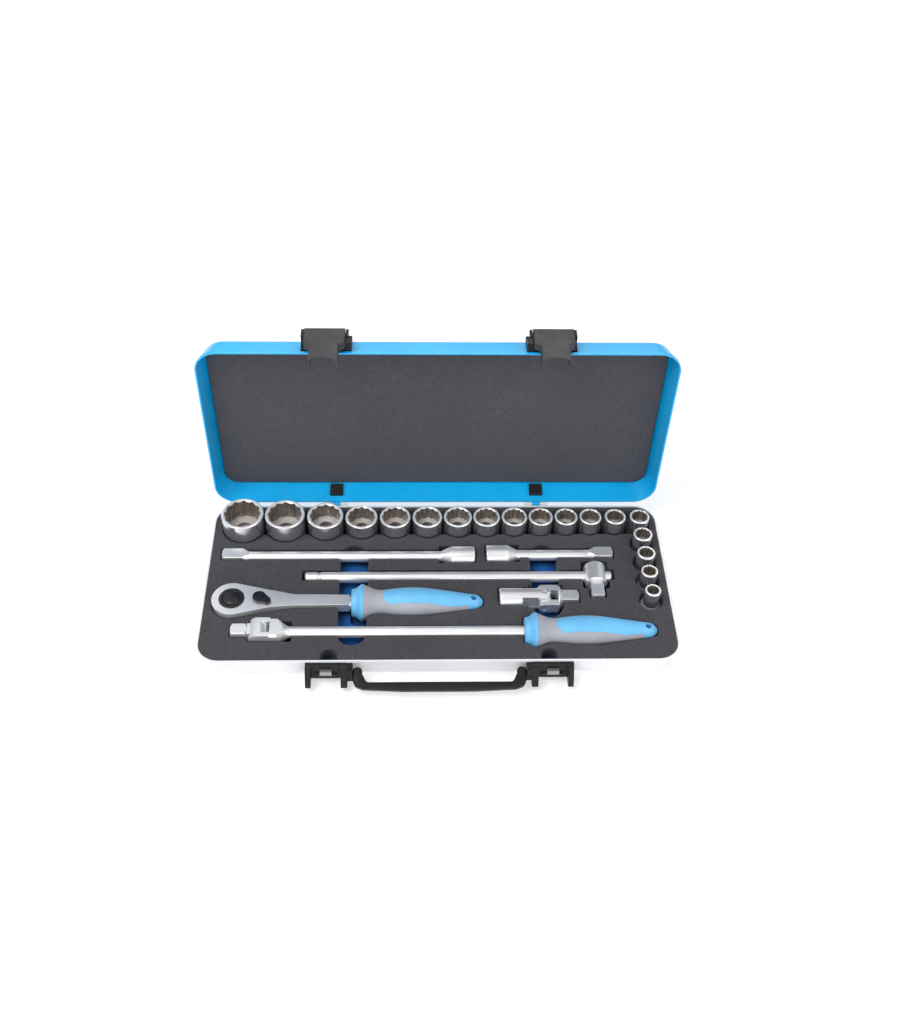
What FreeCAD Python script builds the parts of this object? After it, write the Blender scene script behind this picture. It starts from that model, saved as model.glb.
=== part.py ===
import FreeCAD, Part
import Sketcher
import math
import os
import re

# A socket wrench set in a hinged metal case: 24 half-inch-drive tools bedded in two layers of
# foam. Origin: centre of the base's underside. +X right, +Y back to the hinge, +Z up.
# The case lies open, with every tool in its pocket.

V = FreeCAD.Vector
Rotation = FreeCAD.Rotation
ALONG_X = Rotation(V(0, 1, 0), 90)
ALONG_Y = Rotation(V(1, 0, 0), -90)
UPSIDE_DOWN = Rotation(V(1, 0, 0), 180)

doc = FreeCAD.newDocument("socket_wrench_set")
sheet = doc.addObject("Spreadsheet::Sheet", "dims")

# ------------------------------------------------------------------ driving dimensions (mm, deg)
CASE = {
    "case_w": 455, "case_d": 200, "base_h": 26, "lid_h": 28, "wall": 1.0, "hem": 0.5, "hem_h": 2.6,
    "base_draft": 4.5, "lid_draft": 5.5, "corner_r": 22, "base_round": 6, "lid_round": 9,
    "rim_gap": 0.5, "hinge_back": 2.4, "open_angle": 89, "hinge_x": 104, "hinge_w": 24,
    "knuckle_r": 2.2, "hinge_pin_r": 1.0, "knuckle_gap": 0.15, "leaf_h": 14,
    "clip_w": 13.5, "clip_h": 12.5, "clip_t": 2.5,
    "liner_t": 6, "liner_inset": 6.5,
}
FOAM = {
    "foam_split": 11, "foam_gap": 0.2, "fit_gap": 0.7, "bar_gap": 1.1, "socket_seat": 3.5,
    "trench_floor": 13, "trench_front": 60, "trench_back": 93, "seam": 0.04,
    "trough_l": -83, "trough_r": 106, "trough_w": 28, "trough_l_front": -81, "trough_r_front": -49,
    "trough_end": 45, "notch_w": 17, "notch_d": 12,
}
LATCH = {
    "latch_x": 106, "cheek_gap": 28, "cheek_out": 5, "cheek_in": 6, "step_w": 5,
    "plate_front": 103.2, "plate_back": 95.2, "bracket_low": 4, "bracket_top": 24,
    "mount_front": 101.2, "mount_back": 93,
    "catch_w": 11, "catch_t": 1.4, "catch_front": 107, "catch_low": 13, "catch_top": 17.5,
    "lever_front": 112, "lever_skin": 2.4, "lever_low": 3, "lever_top": 49, "lever_w": 38,
    "lever_nose_w": 27, "lever_shoulder": 29, "lever_back": 103.4, "lever_pivot_y": 106,
    "scoop_r": 21, "scoop_rise": 4.4,
    "lever_pivot_z": 46, "pivot_r": 1.5, "run_gap": 0.05,
}
HANDLE = {
    "handle_pivot_y": 104.5, "handle_pivot_z": 16.5, "handle_tilt": 15, "handle_half": 81,
    "handle_arm": 9, "handle_reach": 20.5, "handle_end_w": 8, "handle_mid_w": 9.5,
    "handle_t": 9, "handle_round": 3.2, "handle_corner": 4, "handle_pin_r": 2.2, "handle_pin_l": 9,
}
DRIVE = {
    "drive": 12.7, "drive_fit": 12.9, "drive_chamfer": 1, "ball_r": 2.4,
    "bar_r": 5.5, "bar_z": 22, "female_r": 10.5, "female_depth": 16.5,
    "ext_y": 32.75, "ext_x": -215, "ext_len": 252.5, "ext_male": 21, "ext_taper": 10,
    "ext_female": 23.5, "short_y": 34, "short_x": 49, "short_len": 127.5, "short_male": 18.5,
    "short_taper": 9, "short_female": 22,
}
TEE = {
    "tee_y": 5.3, "tee_x": -131, "tee_len": 303.5, "tee_head_x": 156.5, "tee_head_r": 11,
    "tee_head_front": 11.5, "tee_head_back": 12.7, "tee_drive": 17.5, "tee_ring_x": -117,
    "tee_turn_r": 17.4,
}
RATCHET = {
    "rat_y": -28.8, "rat_x": -199, "rat_top": 31.5, "rat_low": 16, "rat_head_r": 19.3,
    "rat_neck_x": -140, "rat_neck_w": 6.8, "rat_shaft_w": 5.9, "rat_shaft_end": -60,
    "rat_drive_low": 2.8, "rat_bore_r": 13.2, "rat_gear_r": 12.7, "rat_axis_z": 24,
    "rat_ring_r": 12.2, "rat_ring_t": 1.4, "rat_button_r": 8.4, "rat_button_rise": 2.6, "rat_plunger_r": 2.85,
    "rat_lever_x": -172.3, "rat_lever_r": 6.4, "rat_lever_t": 3.2, "rat_lever_reach": 12.2,
    "rat_lever_angle": -29, "rat_stem_r": 3, "rat_grip_x": -84,
}
GRIP = {
    "grip_l": 127, "grip_collar_r": 13.4, "grip_flange_r": 18, "grip_flange_x": 10.5,
    "grip_split_x": 12, "grip_neck_r": 11.9, "grip_neck_x": 25, "grip_belly_r": 16.2,
    "grip_belly_x": 60, "grip_tip_r": 7.4, "grip_hole_x": 118, "grip_hole_r": 2.9,
    "inlay_x": 30, "inlay_half": 9.6, "inlay_floor": 5, "inlay_tip": 113,
}
BREAKER = {
    "brk_y": -64.4, "brk_z": 24, "brk_x": -197, "brk_drive": 16, "brk_pin_x": -171,
    "brk_knuckle_r": 9.4, "brk_tongue": 6.2, "brk_ear": 5, "brk_fork_x": -180, "brk_crotch": -160,
    "brk_fork_end": -153, "brk_taper": -143, "brk_grip_x": 81, "brk_pin_r": 3.2,
}
JOINT_TOOL = {
    "uj_y": -22.5, "uj_x": 59.5, "uj_female": 22, "uj_centre": 103, "uj_cross": 6,
    "uj_eye_r": 5.9, "uj_hub_x": 115.5, "uj_hub": 5.5, "uj_end": 137, "uj_pin_r": 2.4,
    "uj_gap": 0.15,
}
# one line a socket: width across flats, outside diameter, length, depth of the broach, centre x, centre y
SOCKETS = (
    (32, 42.5, 43, 22, -196.6, 70), (30, 40.0, 42, 21, -154.0, 70), (27, 36.5, 40, 16.5, -113.4, 70),
    (24, 32.5, 38, 16, -76.8, 70), (23, 31.0, 38, 14.5, -42.6, 70), (22, 30.0, 38, 14.5, -9.9, 70),
    (21, 28.5, 38, 14, 21.2, 70), (20, 27.2, 38, 14, 50.4, 70), (19, 26.0, 38, 14, 78.8, 70),
    (18, 24.7, 38, 14, 105.7, 70), (17, 23.5, 38, 13.5, 131.6, 70), (16, 22.4, 38, 13.5, 156.6, 70),
    (15, 21.5, 38, 13.5, 182.0, 70), (14, 20.0, 38, 13, 207.0, 70), (13, 19.0, 38, 13, 207.2, 45.6),
    (12, 18.0, 38, 13, 207.2, 20.4), (11, 16.5, 38, 12.5, 207.2, -3.6), (10, 15.5, 38, 12.5, 207.2, -28),
)
SOCKET_FORM = {
    "foot_d": 22, "foot_h": 15, "foot_taper": 4, "foot_largest": 16, "drive_depth": 16,
    "mouth_chamfer": 0.9,
}

alias_row = {}


def dimension(name, size):
    """Write one driving dimension into the sheet under its own name."""
    row = len(alias_row) + 1
    sheet.set(f"A{row}", name)
    sheet.set(f"B{row}", str(size))
    sheet.setAlias(f"B{row}", name)
    alias_row[name] = row


GROUPS = (CASE, FOAM, LATCH, HANDLE, DRIVE, TEE, RATCHET, GRIP, BREAKER, JOINT_TOOL, SOCKET_FORM)
for sizes in GROUPS:
    for key, number in sizes.items():
        dimension(key, number)
for flats, outside, length, broach, centre_x, centre_y in SOCKETS:
    dimension(f"od_{flats}", outside)
    dimension(f"len_{flats}", length)
    dimension(f"broach_{flats}", broach)
    dimension(f"x_{flats}", centre_x)
    dimension(f"y_{flats}", centre_y)
    dimension(f"flats_{flats}", flats)
doc.recompute()


# ------------------------------------------------------------------ modelling helpers
def named(formula):
    """Point each dimension's name in a formula at the sheet."""
    return re.sub(r"[a-z]\w*", lambda m: ("dims." if m.group() in alias_row else "") + m.group(), formula)


def mm(name):
    """Number that a dimension has in the sheet."""
    return float(sheet.get(name))


def bind(obj, **sizes):
    """Tie properties of obj to formulas in the sheet's names."""
    for prop, formula in sizes.items():
        obj.setExpression(prop, named(formula))
    return obj


def stand(obj, x="0", y="0", z="0", turn=None):
    """Turn obj, then stand its origin at a point given by formulas."""
    if turn:
        obj.Placement = FreeCAD.Placement(V(), turn)
    for axis, formula in zip("xyz", (x, y, z)):
        obj.setExpression("Placement.Base." + axis, named(formula))
    return obj


def cylinder(name, radius, length, x="0", y="0", z="0", turn=None):
    """Cylinder from its start point along +Z, or along the axis that turn gives."""
    obj = doc.addObject("Part::Cylinder", name)
    bind(obj, Radius=radius, Height=length)
    return stand(obj, x, y, z, turn)


def cone(name, radius_1, radius_2, length, x="0", y="0", z="0", turn=None):
    obj = doc.addObject("Part::Cone", name)
    bind(obj, Radius1=radius_1, Radius2=radius_2, Height=length)
    return stand(obj, x, y, z, turn)


def sphere(name, radius, x="0", y="0", z="0"):
    obj = doc.addObject("Part::Sphere", name)
    bind(obj, Radius=radius)
    return stand(obj, x, y, z)


def block(name, x, y, z):
    """Box between pairs of formulas on the three axes."""
    obj = doc.addObject("Part::Box", name)
    bind(obj, Length=f"({x[1]}) - ({x[0]})", Width=f"({y[1]}) - ({y[0]})", Height=f"({z[1]}) - ({z[0]})")
    return stand(obj, x[0], y[0], z[0])


def fuse(name, pieces):
    obj = doc.addObject("Part::MultiFuse", name)
    obj.Shapes = pieces
    obj.Refine = True
    return obj


def common(name, pieces):
    obj = doc.addObject("Part::MultiCommon", name)
    obj.Shapes = pieces
    return obj


def cut(name, base, tools):
    """base without the tools."""
    obj = doc.addObject("Part::Cut", name)
    obj.Base = base
    obj.Tool = tools[0] if len(tools) == 1 else fuse(name + "_tools", tools)
    obj.Refine = True
    return obj


def group(name, pieces):
    """Identical separate solids kept in one node."""
    obj = doc.addObject("Part::Compound", name)
    obj.Links = pieces
    return obj


def outline(body, plane, corners):
    """Closed sketch of straight edges on one of the body's planes, every corner bound to formulas."""
    sketch = body.newObject("Sketcher::SketchObject", body.Name + "_sketch")
    face = next(f for f in body.Origin.OriginFeatures if f.Role == plane)
    sketch.AttachmentSupport = [(face, "")]
    sketch.MapMode = "FlatFace"
    count = len(corners)
    ring = [V(math.cos(2 * math.pi * i / count), math.sin(2 * math.pi * i / count), 0) * 40
            for i in range(count)]
    for i in range(count):
        sketch.addGeometry(Part.LineSegment(ring[i], ring[(i + 1) % count]), False)
    for i in range(count):
        sketch.addConstraint(Sketcher.Constraint("Coincident", i, 2, (i + 1) % count, 1))
    for i, corner in enumerate(corners):
        for kind, formula, start in zip(("DistanceX", "DistanceY"), corner, (ring[i].x, ring[i].y)):
            index = sketch.addConstraint(Sketcher.Constraint(kind, -1, 1, i, 1, start))
            sketch.setExpression(f"Constraints[{index}]", named(formula))
    return sketch


def padded(name, plane, corners, length, taper=None, midplane=False):
    """Body with one pad of an outline."""
    body = doc.addObject("PartDesign::Body", name)
    sketch = outline(body, plane, corners)
    pad = body.newObject("PartDesign::Pad", name + "_pad")
    pad.Profile = sketch
    pad.Midplane = midplane
    bind(pad, Length=length)
    if taper:
        bind(pad, TaperAngle=taper)
    doc.recompute()
    return body


def turned(name, axis, corners):
    """Body of revolution; corners are (along the axis, radius), about X or about Z."""
    body = doc.addObject("PartDesign::Body", name)
    if axis == "X":
        sketch = outline(body, "XY_Plane", corners)
    else:
        sketch = outline(body, "XZ_Plane", [(radius, along) for along, radius in corners])
    solid = body.newObject("PartDesign::Revolution", name + "_turn")
    solid.Profile = sketch
    solid.ReferenceAxis = (sketch, ["H_Axis" if axis == "X" else "V_Axis"])
    solid.Angle = 360
    doc.recompute()
    return body


def round_edges(body, radius, wanted, kind="Fillet"):
    """Fillet or chamfer the edges of a body that a test picks."""
    base = body.Tip
    edges = [f"Edge{i}" for i, edge in enumerate(base.Shape.Edges, 1) if wanted(edge)]
    feature = body.newObject("PartDesign::" + kind, f"{body.Name}_{kind}")
    feature.Base = (base, edges)
    bind(feature, **{"Radius" if kind == "Fillet" else "Size": radius})
    doc.recompute()
    return body


def ends(edge):
    return [vertex.Point for vertex in edge.Vertexes]


def is_upright(edge):
    return abs(ends(edge)[0].z - ends(edge)[-1].z) > 1


def at_height(z):
    return lambda edge: all(abs(point.z - z) < 1e-4 for point in ends(edge))


def circle_at(position):
    """Test for a full circular edge whose plane cuts the X axis at a position."""
    return lambda edge: abs(edge.BoundBox.XMin - position) < 1e-3 and edge.BoundBox.XLength < 1e-3


def circle_height(position):
    """Test for a full circular edge in the level plane at a height."""
    return lambda edge: abs(edge.BoundBox.ZMin - position) < 1e-3 and edge.BoundBox.ZLength < 1e-3


def dish(name, width, depth, height, draft, corner, edge_round):
    """Drafted pan, its smaller face on z = 0, with rounded corners and a rounded lower edge."""
    x, y = f"({width}) / 2 - ({draft})", f"({depth}) / 2 - ({draft})"
    corners = ((f"-({x})", f"-({y})"), (x, f"-({y})"), (x, y), (f"-({x})", y))
    body = padded(name, "XY_Plane", corners, height, taper=f"atan(({draft}) / ({height}))")
    round_edges(body, corner, is_upright)
    return round_edges(body, edge_round, at_height(0))


def slab(name, width, depth, corner, z):
    """Upright-walled plate with rounded corners between two heights."""
    x, y = f"({width}) / 2", f"({depth}) / 2"
    corners = ((f"-({x})", f"-({y})"), (x, f"-({y})"), (x, y), (f"-({x})", y))
    body = padded(name, "XY_Plane", corners, f"({z[1]}) - ({z[0]})")
    round_edges(body, corner, is_upright)
    return stand(body, z=z[0])


# ------------------------------------------------------------------ case base
def base_envelope(name, inset):
    """Outside of the base's pressed tray, drawn in by an inset all round."""
    return dish(name, f"case_w - 2 * hem - 2 * ({inset})", f"case_d - 2 * hem - 2 * ({inset})",
                f"base_h - ({inset})", "base_draft", f"corner_r - ({inset})", f"base_round - ({inset}) * 0.6")


tray_outside = base_envelope("tray_outside", "0")
tray_inside = stand(base_envelope("tray_inside", "wall"), z="wall")
tray_hem = slab("tray_hem", "case_w", "case_d", "corner_r + hem", ("base_h - hem_h", "base_h"))
cut("base_tray", fuse("tray_solid", [tray_outside, tray_hem]), [tray_inside])


# ------------------------------------------------------------------ foam
def well(name, x, y, floor):
    """Straight-sided pocket open at the top."""
    return block(name, x, y, (floor, "base_h + 5"))


def round_well(name, radius, x, y, floor):
    return cylinder(name, radius, f"base_h + 5 - ({floor})", x, y, floor)


def channel(name, x, centre, half, floor):
    """Pocket for a length of bar that lies along X."""
    return well(name, x, (f"({centre}) - ({half}) - bar_gap", f"({centre}) + ({half}) + bar_gap"), floor)


pockets = []
for flats, *_ in SOCKETS:
    widest = f"max(od_{flats}; foot_d) / 2 + fit_gap"
    pockets.append(round_well(f"socket_well_{flats}", widest, f"x_{flats}", f"y_{flats}", "socket_seat"))
pockets.append(well("trench", ("x_32 - 12", "x_14 + 6"), ("trench_front", "trench_back"), "trench_floor"))

bar_floor = "bar_z - bar_r - foam_gap"
square_floor = "bar_z - drive / 2 - foam_gap"
female_floor = "bar_z - female_r - foam_gap"
pockets += [
    channel("ext_well", ("ext_x - fit_gap", "ext_x + ext_len - 10"), "ext_y", "bar_r", bar_floor),
    channel("ext_male_well", ("ext_x - 1.6", "ext_x + ext_male + 6"), "ext_y", "drive / 2", square_floor),
    channel("ext_female_well", ("ext_x + ext_len - ext_female - 13", "ext_x + ext_len + 1.2"), "ext_y",
            "female_r", female_floor),
    channel("short_well", ("short_x", "short_x + short_len - 5"), "short_y", "bar_r", bar_floor),
    channel("short_male_well", ("short_x + short_len - short_male - 6", "short_x + short_len + 1.6"),
            "short_y", "drive / 2", square_floor),
    channel("short_female_well", ("short_x - 1.2", "short_x + short_female + 12"), "short_y",
            "female_r", female_floor),
    channel("tee_well", ("tee_x - 3.2", "tee_x + tee_len + 3.2"), "tee_y", "bar_r", bar_floor),
    well("tee_head_well", ("tee_head_x - tee_head_r - 2.6", "tee_head_x + tee_head_r + 2.6"),
         ("tee_y - tee_turn_r", "tee_y + tee_turn_r"), "bar_z - tee_turn_r"),
    well("tee_drive_well", ("tee_head_x - drive / 2 - 2.4", "tee_head_x + drive / 2 + 2.4"),
         ("tee_y - tee_head_front - tee_drive - 1", "tee_y"), square_floor),
    round_well("rat_head_well", "rat_head_r + bar_gap", "rat_x", "rat_y", "rat_low - foam_gap"),
    round_well("rat_drive_well", "rat_ring_r - 1.5", "rat_x", "rat_y", "rat_drive_low - 0.4"),
    channel("rat_shaft_well", ("rat_neck_x", "rat_grip_x + 4"), "rat_y", "rat_neck_w",
            "rat_low - foam_gap"),
    channel("brk_bar_well", ("brk_taper - 4", "brk_grip_x + 2"), "brk_y", "bar_r",
            "brk_z - bar_r - foam_gap"),
    channel("brk_head_well", ("brk_fork_x - 1.2", "brk_taper + 3.5"), "brk_y", "brk_tongue + brk_ear",
            "brk_z - brk_knuckle_r - 0.8"),
    channel("brk_drive_well", ("brk_x - 1.4", "brk_fork_x"), "brk_y", "drive / 2",
            "brk_z - drive / 2 - 0.8"),
    channel("uj_female_well", ("uj_x - 1.2", "uj_x + uj_female + 8"), "uj_y", "female_r", female_floor),
    channel("uj_yoke_well", ("uj_x + uj_female + 6", "uj_hub_x + uj_hub + 1.6"), "uj_y",
            "uj_cross + uj_eye_r + 1.6", "bar_z - female_r - 2.9"),
    channel("uj_drive_well", ("uj_hub_x", "uj_end + 1.6"), "uj_y", "drive / 2 + 1.6", square_floor),
]


def neck_well(name, head_x, head_half, neck_x, neck_half, centre, floor):
    """Pocket with straight sides that narrow from a head to its shaft."""
    corners = ((head_x, f"-({head_half})"), (neck_x, f"-({neck_half})"),
               (neck_x, neck_half), (head_x, head_half))
    return stand(padded(name, "XY_Plane", corners, f"base_h + 5 - ({floor})"), y=centre, z=floor)


def grip_well(name, start, centre, floor):
    """Pocket to the outline of the sculpted grip."""
    half = (("-bar_gap", "grip_collar_r"), ("grip_flange_x - 3", "grip_flange_r"),
            ("grip_flange_x + 4", "grip_flange_r"), ("grip_neck_x", "grip_neck_r + 1.6"),
            ("grip_belly_x - 12", "grip_belly_r"), ("grip_belly_x + 14", "grip_belly_r"),
            ("grip_l - 9", "grip_tip_r + 1.4"), ("grip_l - 2", "grip_tip_r - 1"), ("grip_l + 1.2", "3.6"))
    near = [(x, f"-({radius}) - bar_gap") for x, radius in half]
    far = [(x, f"({radius}) + bar_gap") for x, radius in reversed(half)]
    body = padded(name, "XY_Plane", near + far, f"base_h + 5 - ({floor})")
    return stand(body, start, centre, floor)


grip_floor = "grip_flange_r + 0.5"
pockets += [
    neck_well("rat_neck_well", "rat_x", "rat_head_r + bar_gap", "rat_neck_x + 2", "rat_neck_w + bar_gap",
              "rat_y", "rat_low - foam_gap"),
    grip_well("rat_grip_well", "rat_grip_x", "rat_y", f"rat_axis_z - ({grip_floor})"),
    grip_well("brk_grip_well", "brk_grip_x", "brk_y", f"brk_z - ({grip_floor})"),
]


def finger_trough(name, x, front, floor):
    """Round-ended slot that leaves room for fingers under the bars."""
    half = "trough_w / 2"
    return fuse(name, [
        well(name + "_slot", (f"{x} - {half}", f"{x} + {half}"),
             (f"{front} + {half}", f"trough_end - {half}"), floor),
        round_well(name + "_front", half, x, f"{front} + {half}", floor),
        round_well(name + "_back", half, x, f"trough_end - {half}", floor),
    ])


trough_floor = "foam_split - 1"
open_spaces = [finger_trough("left_trough", "trough_l", "trough_l_front", trough_floor),
               finger_trough("right_trough", "trough_r", "trough_r_front", trough_floor)]
for side, centre in (("left", "(3 - latch_x)"), ("right", "(latch_x - 3)")):
    open_spaces.append(well(f"notch_{side}", (f"{centre} - notch_w / 2", f"{centre} + notch_w / 2"),
                            ("-case_d / 2", "-case_d / 2 + notch_d - 4"), trough_floor))
    open_spaces.append(round_well(f"notch_{side}_end", "notch_w / 2", centre,
                                  "-case_d / 2 + notch_d - 5.5", trough_floor))

foam_block = stand(base_envelope("foam_block", "wall + foam_gap"), z="wall + foam_gap")
all_x, all_y, all_z = ("-case_w", "case_w"), ("-case_d", "case_d"), ("0", "2 * base_h")
upper_zone = block("upper_zone", all_x, all_y, ("foam_split + 0.02", "base_h - foam_gap"))
lower_zone = block("lower_zone", all_x, all_y, ("0", "foam_split"))
# hairline seams along the pockets' centre lines part the upper layer into simple blocks
seams = [block(f"seam_y{i}", all_x, (f"{y} - seam / 2", f"{y} + seam / 2"), all_z)
         for i, y in enumerate(("brk_y", "rat_y", "tee_y", "ext_y", "y_32"))]
seams += [block(f"seam_x{i}", (f"{x} - seam / 2", f"{x} + seam / 2"), all_y, all_z)
          for i, x in enumerate(("trough_l", "trough_r"))]
all_pockets = fuse("all_pockets", pockets)
cut("foam_top", common("foam_upper", [foam_block, upper_zone]),
    [all_pockets, fuse("open_spaces", open_spaces), fuse("seams", seams)])
cut("foam_bottom", common("foam_lower", [foam_block, lower_zone]), [all_pockets])


# ------------------------------------------------------------------ lid (drawn closed, then opened)
def open_lid(obj):
    """Swing a piece that was drawn on the closed lid up to the open pose."""
    obj.setExpression("Placement", named(
        "placement(vector(0; 0; 0); rotation(vector(1; 0; 0); 0 - open_angle);"
        " vector(0; case_d / 2 + hinge_back; base_h))"))
    return obj


def lid_envelope(name, inset):
    body = dish(name, f"case_w - 2 * hem - 2 * ({inset})", f"case_d - 2 * hem - 2 * ({inset})",
                f"lid_h - ({inset})", "lid_draft", f"corner_r - ({inset})", f"lid_round - ({inset}) * 0.6")
    return stand(body, z=f"base_h + rim_gap + lid_h - ({inset})", turn=UPSIDE_DOWN)


lid_rim = "base_h + rim_gap"
lid_outside = lid_envelope("lid_outside", "0")
lid_inside = lid_envelope("lid_inside", "wall")
lid_hem = slab("lid_hem", "case_w", "case_d", "corner_r + hem", (lid_rim, f"{lid_rim} + hem_h"))
open_lid(cut("lid_shell", fuse("lid_solid", [lid_outside, lid_hem]), [lid_inside]))
lid_top = f"({lid_rim} + lid_h)"
liner_w = "case_w - 2 * hem - 2 * wall - 2 * liner_inset"
liner_d = "case_d - 2 * hem - 2 * wall - 2 * liner_inset"
liner = slab("liner_form", liner_w, liner_d, "corner_r - liner_inset - 3",
             (f"{lid_top} - wall - 0.1 - liner_t", f"{lid_top} - wall - 0.1"))
open_lid(common("lid_liner", [liner, lid_inside]))


# ------------------------------------------------------------------ hinges
hinge_y = "(case_d / 2 + hinge_back)"
wall_y = "(case_d / 2 - hem)"


def knuckle(name, x, length):
    return cylinder(name, "knuckle_r", length, x, hinge_y, "base_h", ALONG_X)


pin_holes, pins, base_leaves, lid_leaves, lid_clips = [], [], [], [], []
for side, sign in (("left", "-"), ("right", "")):
    centre = f"({sign}hinge_x)"
    third = "(hinge_w / 3)"
    pins.append(cylinder(f"hinge_pin_{side}", "hinge_pin_r", "hinge_w", f"{centre} - hinge_w / 2",
                         hinge_y, "base_h", ALONG_X))
    pin_holes.append(cylinder(f"hinge_hole_{side}", "hinge_pin_r + run_gap", "hinge_w + 2",
                              f"{centre} - hinge_w / 2 - 1", hinge_y, "base_h", ALONG_X))
    for end, start in (("a", f"{centre} - 1.5 * {third}"), ("b", f"{centre} + 0.5 * {third} + knuckle_gap")):
        base_leaves.append(fuse(f"base_knuckle_{side}_{end}", [
            knuckle(f"base_barrel_{side}_{end}", start, f"{third} - knuckle_gap"),
            block(f"base_web_{side}_{end}", (start, f"{start} + {third} - knuckle_gap"),
                  (f"{wall_y} - 2", f"{hinge_y} + knuckle_r"), ("base_h - 8", "base_h")),
        ]))
    leaf_x = (f"{centre} - hinge_w / 2", f"{centre} + hinge_w / 2")
    leaf_y = (f"{wall_y} - 3", f"{wall_y} + 2")
    base_leaves.append(block(f"base_leaf_{side}", leaf_x, leaf_y, ("base_h - 6 - leaf_h", "base_h - 6")))
    middle = (f"{centre} - 0.5 * {third} + knuckle_gap", f"{centre} + 0.5 * {third} - knuckle_gap")
    lid_leaves.append(fuse(f"lid_knuckle_{side}", [
        knuckle(f"lid_barrel_{side}", middle[0], f"{third} - 2 * knuckle_gap"),
        block(f"lid_web_{side}", middle, (f"{wall_y} - 2", f"{hinge_y} + knuckle_r"),
              (lid_rim, f"{lid_rim} + 8")),
    ]))
    lid_leaves.append(block(f"lid_leaf_{side}", leaf_x, leaf_y,
                            (f"{lid_rim} + 5", f"{lid_rim} + 8 + leaf_h")))
    half = "clip_w / 2"
    lid_clips.append(block(f"lid_clip_{side}", (f"{centre} - {half}", f"{centre} + {half}"),
                           (f"{wall_y} - wall - 9", f"{wall_y} - wall"),
                           (f"{lid_rim} + 6.5", f"{lid_rim} + 6.5 + clip_h")))
inner_skin = lid_envelope("lid_inner_skin", "wall + clip_t")
clip_fit = common("lid_clip_fit", [fuse("lid_clip_blocks", lid_clips), lid_inside])
clips = cut("lid_clips", clip_fit, [inner_skin])
cut("base_hinges", fuse("base_hinge_blocks", base_leaves),
    [fuse("base_keep_out", [tray_outside, tray_hem]), fuse("base_pin_holes", pin_holes)])
outer_leaves = cut("lid_leaves_outside", fuse("lid_leaf_blocks", lid_leaves), [lid_outside, lid_hem])
lid_hinge_blocks = fuse("lid_hinge_blocks", [outer_leaves, clips])
open_lid(cut("lid_hinges", lid_hinge_blocks, [fuse("lid_pin_holes", pin_holes)]))
group("hinge_pins", pins)


# ------------------------------------------------------------------ front latches
def latch_side(side, sign):
    """Bracket with two cheeks on the base, its steel catch, and the lid's mount, lever and pin."""
    def span(low, high):
        """X range given from the latch centre outwards, mirrored for the left side."""
        if sign > 0:
            return f"latch_x + ({low})", f"latch_x + ({high})"
        return f"-latch_x - ({high})", f"-latch_x - ({low})"

    half = "cheek_gap / 2"
    cheek = (("-plate_back", "bracket_low"), ("-plate_front - 10", "bracket_low"),
             ("-plate_front - 13.4", "bracket_low + 3"), ("-plate_front - 9.5", "bracket_top - 10"),
             ("-plate_front - 3", "bracket_top - 1.6"), ("-plate_front + 0.6", "bracket_top"),
             ("-plate_back", "bracket_top"))

    def fin(name, low, high):
        x = span(low, high)
        body = padded(name, "YZ_Plane", cheek, f"({x[1]}) - ({x[0]})")
        return stand(body, x=x[0])

    pieces = [
        fin(f"cheek_out_{side}", half, f"{half} + cheek_out"),
        fin(f"cheek_in_{side}", f"-{half} - cheek_in", f"-{half}"),
        block(f"bracket_plate_{side}", span(f"-{half} - cheek_in", f"{half} + cheek_out"),
              ("-plate_front", "-plate_back"), ("bracket_low", "bracket_top")),
        block(f"bracket_step_{side}", span(f"-{half} - cheek_in - step_w", f"-{half} - cheek_in"),
              ("-plate_front - 6.5", "-plate_back"), ("bracket_low + 4", "bracket_top - 1")),
        block(f"bracket_shelf_{side}", span(f"-{half} + 4", f"{half} - 4"),
              ("-plate_front - 1.6", "-plate_front"), ("bracket_low + 2", "catch_low - 1")),
    ]
    bore_ends = span(f"-{half} - cheek_in - step_w - 2", f"-{half} + 1")
    pivot = cylinder(f"handle_bore_{side}", "handle_pin_r + run_gap", f"({bore_ends[1]}) - ({bore_ends[0]})",
                     bore_ends[0], "-handle_pivot_y", "handle_pivot_z", ALONG_X)
    cut(f"latch_bracket_{side}", fuse(f"bracket_{side}", pieces),
        [tray_outside, tray_hem, catch_seat(side, span), pivot])
    lever_and_mount(side, span)


def catch_seat(side, span):
    """Slot in the bracket that holds the steel catch."""
    return block(f"catch_seat_{side}", span("-catch_w / 2", "catch_w / 2"),
                 ("-plate_front - 5", "-plate_front + catch_t"), ("catch_low", "catch_top"))


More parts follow.
